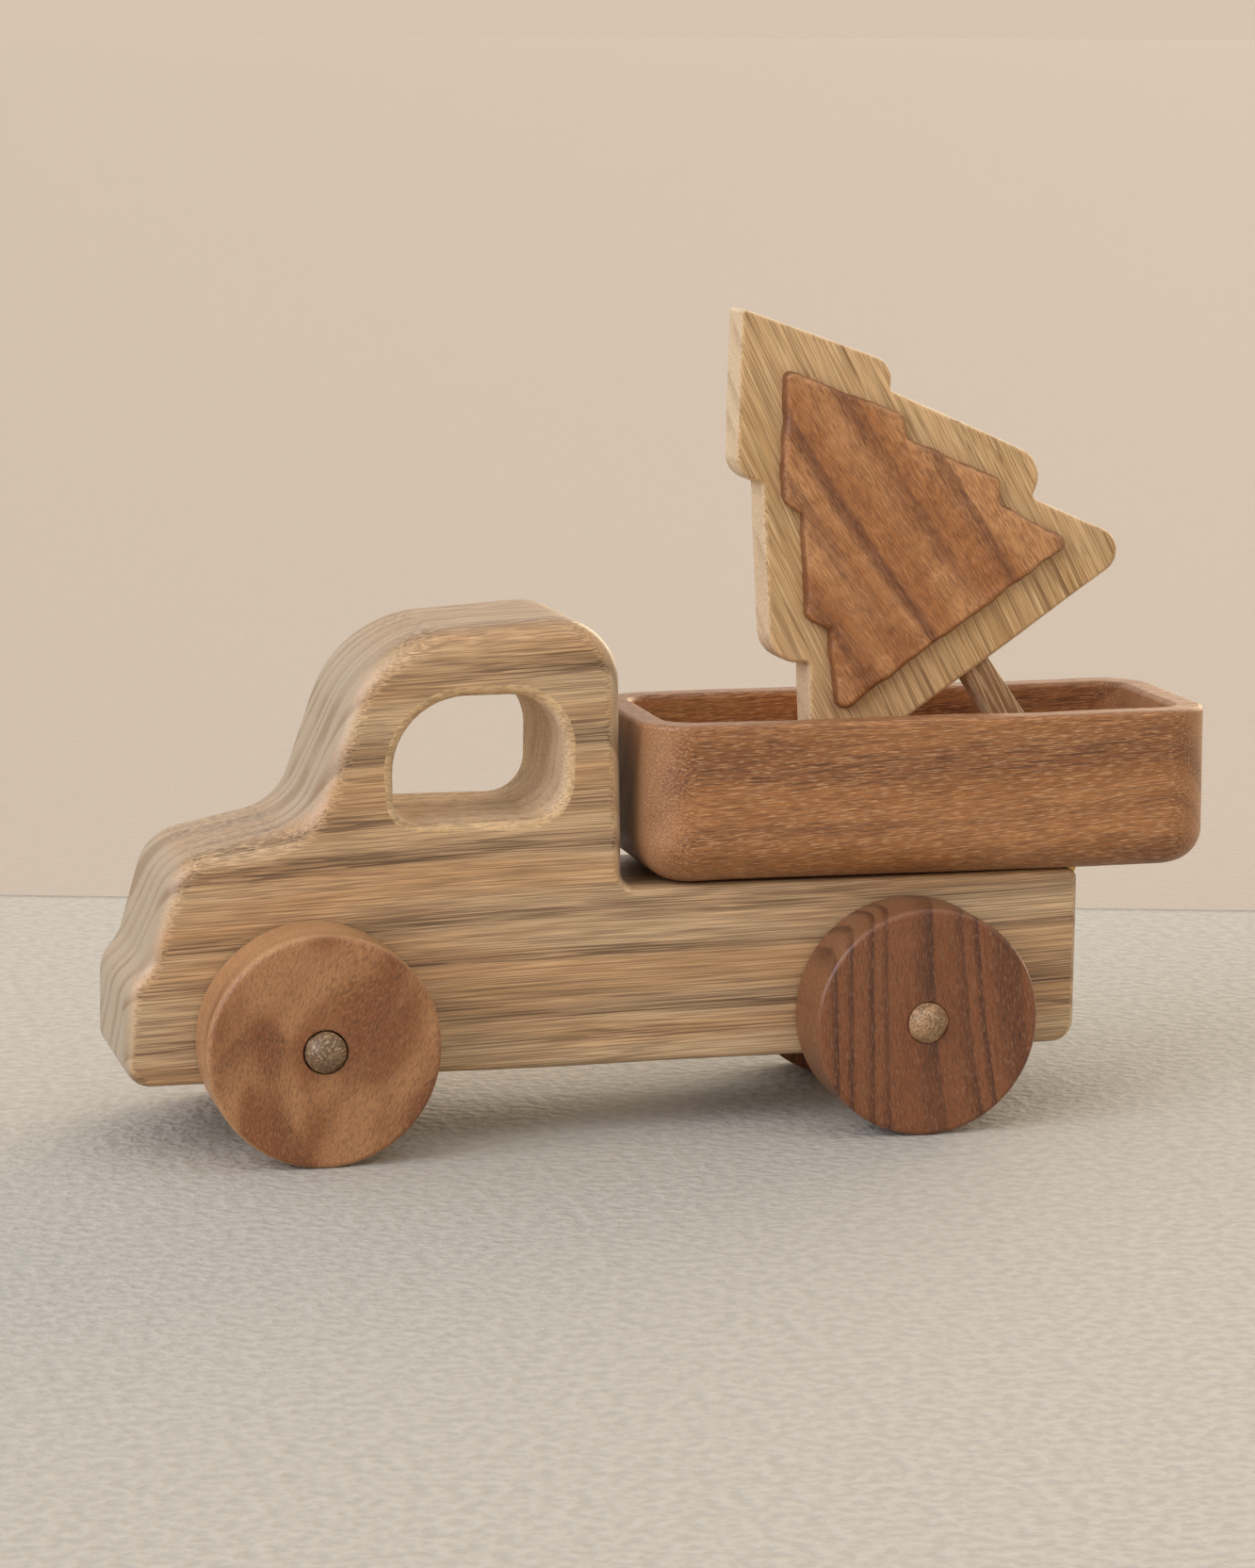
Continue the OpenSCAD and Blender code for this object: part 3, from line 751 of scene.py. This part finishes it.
class TOYTRUCK_OT_chassis(bpy.types.Operator):
    """Build the cab and chassis from one thick board, with its window and axle holes"""
    bl_idname = "toy_truck.chassis"
    bl_label = "Chassis board"

    def execute(self, context):
        sizes = context.scene.toy_truck_board
        half = (BOARD_HIGH.y - BOARD_LOW.y) / 2
        skin = Skin(upright)
        outer = rounded(body_corners(sizes), every(3))
        bore = DOWEL_RADIUS + BORE_SLACK
        holes = [rounded(window_corners(), every(3)),
                 bore_outline(FRONT_AXLE, bore, 0.4), bore_outline(REAR_AXLE, bore, 0.4)]
        faces = {-1: [], 1: []}
        for outline, wood in [(outer, 1)] + [(hole, -1) for hole in holes]:
            near = [skin.edge_loop(outline, t, -half, 1, wood, wood) for t in turns(0, QUARTER)]
            far = [skin.edge_loop(outline, t, half, -1, wood, wood) for t in turns(QUARTER, 0)]
            reach = half - max(edge for _, _, edge in outline)
            walls = [skin.wall_loop(outline, w, wood) for w in turns(-reach, reach, 10)[1:-1]]
            before = len(skin.faces)
            skin.join(near + walls + far)
            if outline is holes[0]:
                rasped = range(before, len(skin.faces))
            faces[-1].append(near[0])
            faces[1].append(far[-1])
        for side, loops in faces.items():
            skin.cover(loops, side * half, side, 3.0)
        wander = [(26, sizes.hand_sanding / MM), (7, 0.02)]
        piece = skin.build("chassis_board", wander)
        finish_piece(piece, "chassis", "truck", oiled_ash())
        piece.data.materials.append(rough_ash())
        for face in rasped:
            piece.data.polygons[face].material_index = 1
        return {"FINISHED"}


def wheel_skin(node, sizes, slack):
    """A turned disc with a bored centre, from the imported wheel's box."""
    low, high = box_mm(node)
    radius = (high.x - low.x) / 2
    bore = DOWEL_RADIUS + slack
    edge, bore_edge = sizes.edge / MM, sizes.bore_edge / MM
    corners = [(bore, low.y, bore_edge, 0), (radius, low.y, edge, 0), (radius, high.y, edge, 0),
               (bore, high.y, bore_edge, 0)]
    profile = [(p.x, p.y, out.x, out.y) for p, out, _ in rounded(corners, every(2.2), EDGE_STEPS)]
    skin = Skin(upright)
    skin.revolve(profile, (low + high) / 2, 144, closed=True)
    return skin


class TOYTRUCK_OT_wheels(bpy.types.Operator):
    """Turn the four wheels: teak discs in front and walnut discs at the rear"""
    bl_idname = "toy_truck.wheels"
    bl_label = "Wheels"

    def execute(self, context):
        sizes = context.scene.toy_truck_wheels
        sets = (("front", "front_wheel_teak", wheel_teak(), sizes.slack / MM),
                ("rear", "rear_wheel_walnut", wheel_walnut(), GLUE_SLACK))
        for end, slot, material, slack in sets:
            for side in ("left", "right"):
                node = "wheel_" + end + "_" + side
                piece = wheel_skin(node, sizes, slack).build(node + "_disc", [(14, 0.12), (4, 0.02)])
                finish_piece(piece, node, end + "_wheels", material)
        return {"FINISHED"}


class TOYTRUCK_OT_dowels(bpy.types.Operator):
    """Cut the two axle dowels and dome their ends"""
    bl_idname = "toy_truck.dowels"
    bl_label = "Axle dowels"

    def execute(self, context):
        sizes = context.scene.toy_truck_wheels
        tint = context.scene.toy_truck_colours
        sets = (("front", dowel_beech("grey_beech_dowel", tint.dowel_grey, linear("6F553C"))),
                ("rear", dowel_beech("beech_dowel", tint.dowel, linear("8C6A48"))))
        for end, material in sets:
            node = end + "_axle"
            low, high = box_mm(node)
            radius, dome = (high.z - low.z) / 2, sizes.dome / MM
            ball = (radius * radius + dome * dome) / (2 * dome)
            reach = math.asin(radius / ball)
            tip = [(ball * math.sin(t), high.y - ball * (1 - math.cos(t)), math.sin(t), math.cos(t))
                   for t in turns(0, reach, 10)]
            tip[0] = (0, high.y, 0, 1)
            rod = [(radius, along, 1, 0) for along in turns(high.y - dome, low.y + dome, 12)]
            tail = [(r, low.y + high.y - along, out, -out_along) for r, along, out, out_along in tip]
            skin = Skin(upright)
            skin.revolve(tip + rod + tail[::-1], (low + high) / 2, 48, closed=False)
            piece = skin.build(node + "_dowel", [(2.4, 0.14)])
            finish_piece(piece, node, end + "_wheels", material)
        return {"FINISHED"}


class TOYTRUCK_OT_tray(bpy.types.Operator):
    """Carve the tipping tray: a rounded block with a shallow hollow"""
    bl_idname = "toy_truck.tray"
    bl_label = "Tipping tray"

    def execute(self, context):
        sizes = context.scene.toy_truck_tray
        wall, corner = sizes.wall / MM, sizes.corner / MM
        bottom, front = sizes.bottom_edge / MM, sizes.front_edge / MM
        floor = TRAY_HIGH.z - sizes.depth / MM

        def plan(inset, radius, front_edge, rear_edge):
            """Outline of the tray from above, moved in by inset."""
            x0, x1 = TRAY_LOW.x + inset, TRAY_HIGH.x - inset
            y0, y1 = TRAY_LOW.y + inset, TRAY_HIGH.y - inset
            corners = [(x0, y0, radius, front_edge), (x1, y0, radius, rear_edge),
                       (x1, y1, radius, rear_edge), (x0, y1, radius, front_edge)]
            return rounded(corners, lambda side: 24)

        outer = plan(0, corner, front, bottom)
        rim = plan(0, corner, 1.0, 1.0)
        mouth = plan(wall, corner - wall + 1, 1.2, 1.2)
        hollow = plan(wall, corner - wall + 1, 3.0, 3.0)
        skin = Skin(lying)
        under = [skin.edge_loop(outer, t, TRAY_LOW.z, 1) for t in turns(0, QUARTER, 12)]
        sides = [skin.wall_loop(outer, z) for z in turns(TRAY_LOW.z + front, TRAY_HIGH.z - 1, 8)[1:-1]]
        over = [skin.edge_loop(rim, t, TRAY_HIGH.z, -1) for t in turns(QUARTER, 0)]
        lip = [skin.edge_loop(mouth, t, TRAY_HIGH.z, -1, -1, -1) for t in turns(0, QUARTER)]
        inside = [skin.wall_loop(hollow, z, -1) for z in turns(TRAY_HIGH.z - 1.2, floor + 3, 4)[1:-1]]
        foot = [skin.edge_loop(hollow, t, floor, 1, -1) for t in turns(QUARTER, 0)]
        skin.join(under + sides + over + lip + inside + foot)
        skin.cover([under[0]], TRAY_LOW.z, -1, 4.0)
        skin.cover([foot[-1]], floor, 1, 4.0)
        piece = skin.build("tray_block", [(24, 0.22), (8, 0.03)])
        finish_piece(piece, "tray", "tipping_tray", oiled_teak())
        return {"FINISHED"}


class TOYTRUCK_OT_hinge(bpy.types.Operator):
    """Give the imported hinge, its pin and its screws their brass"""
    bl_idname = "toy_truck.hinge"
    bl_label = "Brass hinge"

    def execute(self, context):
        brass = brushed_brass()
        for name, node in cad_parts.items():
            if name.startswith("hinge_"):
                node.data.materials.clear()
                node.data.materials.append(brass)
        return {"FINISHED"}


TREE_RIGHT = [(41.4, 0, 4.8, 0.9), (27.9, 21.4, 1, 0.9), (35, 25, 6, 0.9), (15.7, 56.2, 1, 0.9),
              (19.6, 60, 5, 0.9)]
TREE_TIP = (0, 87, 0.8, 0.8)
PANEL_RIGHT = [(29.3, 9.7, 1.8, 1.3), (21.6, 24.6, 0.8, 1.3), (23.8, 29.2, 2.4, 1.3),
               (12.9, 47, 0.8, 1.3), (14.9, 51.2, 2.6, 1.3)]
PANEL_TIP = (0, 72.5, 1.3, 1.3)


def both_sides(right, tip):
    """The whole outline of a tree from its right half and its tip."""
    return right + [tip] + [(-x, y, radius, edge) for x, y, radius, edge in reversed(right)]


def tree_place(lean, trunk):
    """Where the middle of the tree's base edge lies, leaned towards the cab."""
    low, high = box_mm("tree_trunk")
    foot = high.x - trunk / 2 * math.cos(lean)
    drop = trunk / 2 * math.sin(lean)
    board_low, _ = box_mm("tree_board")
    across, tip_radius = TREE_RIGHT[0][0], TREE_RIGHT[0][2]
    reach = across - tip_radius * math.sqrt(3)
    base_z = board_low.z + reach * math.sin(lean) - tip_radius * math.cos(lean) + tip_radius
    rise = (base_z - low.z - drop) / math.cos(lean)
    base_x = foot - rise * math.sin(lean)
    return Matrix.Translation((base_x, 0, base_z)) @ Matrix.Rotation(-lean, 4, "Y"), rise


class TOYTRUCK_OT_tree(bpy.types.Operator):
    """Cut the tree: a pale board, a darker panel on its face and a stick for a trunk"""
    bl_idname = "toy_truck.tree"
    bl_label = "Cut-out tree"

    def slab(self, corners, near, far, rounded_near, rounded_far, step):
        """A flat cut-out from near to far, with its edges rounded where it is asked for."""
        skin = Skin(upright)
        outline = rounded(corners, every(step))
        first = [skin.edge_loop(outline, t, near, 1) for t in turns(0, QUARTER)] if rounded_near \
            else [skin.wall_loop(outline, near)]
        last = [skin.edge_loop(outline, t, far, -1) for t in turns(QUARTER, 0)] if rounded_far \
            else [skin.wall_loop(outline, far)]
        skin.join(first + [skin.wall_loop(outline, (near + far) / 2)] + last)
        skin.cover([first[0]], near, -1, step)
        skin.cover([last[-1]], far, 1, step)
        return skin

    def execute(self, context):
        sizes = context.scene.toy_truck_tree
        tint = context.scene.toy_truck_colours
        thick, panel = sizes.board / MM, sizes.panel / MM
        trunk, deep = sizes.trunk / MM, sizes.trunk_depth / MM
        move, rise = tree_place(sizes.lean, trunk)
        board = self.slab(both_sides(TREE_RIGHT, TREE_TIP), -thick / 2, thick / 2, True, True, 2.0)
        piece = board.build("tree_cutout", [(16, 0.18), (5, 0.05)], move)
        wood = tree_ash("sawn_ash", tint.honey, tint.honey_warm)
        finish_piece(piece, "tree_board", "tree", wood)
        face = self.slab(both_sides(PANEL_RIGHT, PANEL_TIP), -thick / 2 - panel, -thick / 2, True,
                         False, 1.0)
        piece = face.build("tree_face_panel", [(5, 0.45), (1.8, 0.18)], move)
        finish_piece(piece, "tree_panel", "tree", panel_teak())
        stick = [(-trunk / 2, -rise, 0.5, 0.5), (trunk / 2, -rise, 0.5, 0.5), (trunk / 2, 1, 0.5, 0.5),
                 (-trunk / 2, 1, 0.5, 0.5)]
        piece = self.slab(stick, -deep / 2, deep / 2, True, True, 2.0).build(
            "tree_trunk_stick", [(7, 0.1)], move)
        wood = tree_ash("sawn_ash_stick", tint.stick, linear("876240"))
        finish_piece(piece, "tree_trunk", "tree", wood)
        return {"FINISHED"}


def add_light(name, source, spread, strength, tint):
    """Even soft light from the direction of source, as from a window spread degrees wide."""
    data = bpy.data.lights.new(name, "SUN")
    data.angle = math.radians(spread)
    data.energy = strength
    data.color = linear(tint)
    lamp = bpy.data.objects.new(name, data)
    lamp.location = source
    lamp.rotation_euler = Vector(source).to_track_quat("Z", "Y").to_euler()
    bpy.context.scene.collection.objects.link(lamp)


class TOYTRUCK_OT_stage(bpy.types.Operator):
    """Lay the floor, hang the soft lights and set up the camera"""
    bl_idname = "toy_truck.stage"
    bl_label = "Stage"

    def floor(self):
        """A floor so wide that it runs out to the horizon in every view."""
        bpy.ops.mesh.primitive_circle_add(vertices=64, radius=60, fill_type="TRIFAN")
        floor = bpy.context.object
        floor.name = "floor"
        floor.data.materials.append(floor_cloth())

    def light(self, settings):
        """A bright ceiling over walls of the paper's tone, and a soft light on either side."""
        world = bpy.data.worlds.new("studio")
        world.use_nodes = True
        tree = world.node_tree
        way = add(tree, "TexCoord", {}, "Generated")
        height = band(tree, add(tree, "SeparateXYZ", {0: way}, "Z"), 0.05, 0.5)
        glow = mixed(tree, height, rgba(settings.walls), rgba(settings.ceiling))
        tree.links.new(glow, tree.nodes["Background"].inputs["Color"])
        tree.nodes["Background"].inputs["Strength"].default_value = settings.daylight
        bpy.context.scene.world = world
        add_light("window_light", (-1.35, -0.75, 0.8), 45, settings.window, "EEF0FF")
        add_light("warm_light", (1.2, 1.2, 0.4), 45, settings.sun, "FFE2BC")

    def camera(self, settings):
        """A long lens to the left of the truck's middle, a little above its roof."""
        yaw, pitch, roll = math.radians(14.16), math.radians(9.12), math.radians(0.21)
        data = bpy.data.cameras.new("camera")
        data.sensor_fit = "VERTICAL"
        data.sensor_height = 36
        data.lens = settings.lens
        camera = bpy.data.objects.new("camera", data)
        turn = (Matrix.Rotation(-yaw, 4, "Z") @ Matrix.Rotation(QUARTER - pitch, 4, "X")
                @ Matrix.Rotation(roll, 4, "Z"))
        aim = Vector((-5.8, 0, 65.9)) * MM
        back = turn.to_3x3() @ UPWARDS * settings.distance
        camera.matrix_world = Matrix.Translation(aim + back) @ turn
        bpy.context.scene.collection.objects.link(camera)
        bpy.context.scene.camera = camera

    def execute(self, context):
        settings = context.scene.toy_truck_stage
        self.floor()
        self.light(settings)
        self.camera(settings)
        context.scene.view_settings.view_transform = "Standard"
        return {"FINISHED"}


# ---------------------------------------------------------------------------------------------
# Add-on
# ---------------------------------------------------------------------------------------------

OPERATORS = (TOYTRUCK_OT_chassis, TOYTRUCK_OT_wheels, TOYTRUCK_OT_dowels, TOYTRUCK_OT_tray,
             TOYTRUCK_OT_hinge, TOYTRUCK_OT_tree, TOYTRUCK_OT_stage)
SETTINGS = {"toy_truck_board": BoardSizes, "toy_truck_wheels": WheelSizes,
            "toy_truck_tray": TraySizes, "toy_truck_tree": TreeSizes,
            "toy_truck_colours": WoodColours, "toy_truck_stage": StageSettings}


class TOYTRUCK_PT_panel(bpy.types.Panel):
    """Sizes, colours and buttons for each piece of the truck"""
    bl_idname = "TOYTRUCK_PT_panel"
    bl_label = "Toy Truck"
    bl_space_type = "VIEW_3D"
    bl_region_type = "UI"
    bl_category = "Toy Truck"

    def draw(self, context):
        for operator in OPERATORS:
            self.layout.operator(operator.bl_idname)
        for name, group in SETTINGS.items():
            box = self.layout.box()
            box.label(text=group.__name__)
            for key in group.__annotations__:
                box.prop(getattr(context.scene, name), key)


def register():
    """Adds the settings, the operators and the panel."""
    for group in SETTINGS.values():
        bpy.utils.register_class(group)
    for name, group in SETTINGS.items():
        setattr(bpy.types.Scene, name, PointerProperty(type=group))
    for operator in OPERATORS:
        bpy.utils.register_class(operator)
    bpy.utils.register_class(TOYTRUCK_PT_panel)


def unregister():
    """Takes away all that register() added."""
    bpy.utils.unregister_class(TOYTRUCK_PT_panel)
    for operator in reversed(OPERATORS):
        bpy.utils.unregister_class(operator)
    for name in SETTINGS:
        delattr(bpy.types.Scene, name)
    for group in reversed(list(SETTINGS.values())):
        bpy.utils.unregister_class(group)


def main():
    """Registers the add-on and makes every piece."""
    register()
    bpy.ops.toy_truck.chassis()
    bpy.ops.toy_truck.wheels()
    bpy.ops.toy_truck.dowels()
    bpy.ops.toy_truck.tray()
    bpy.ops.toy_truck.hinge()
    bpy.ops.toy_truck.tree()
    bpy.ops.toy_truck.stage()


if __name__ == "__main__":
    main()
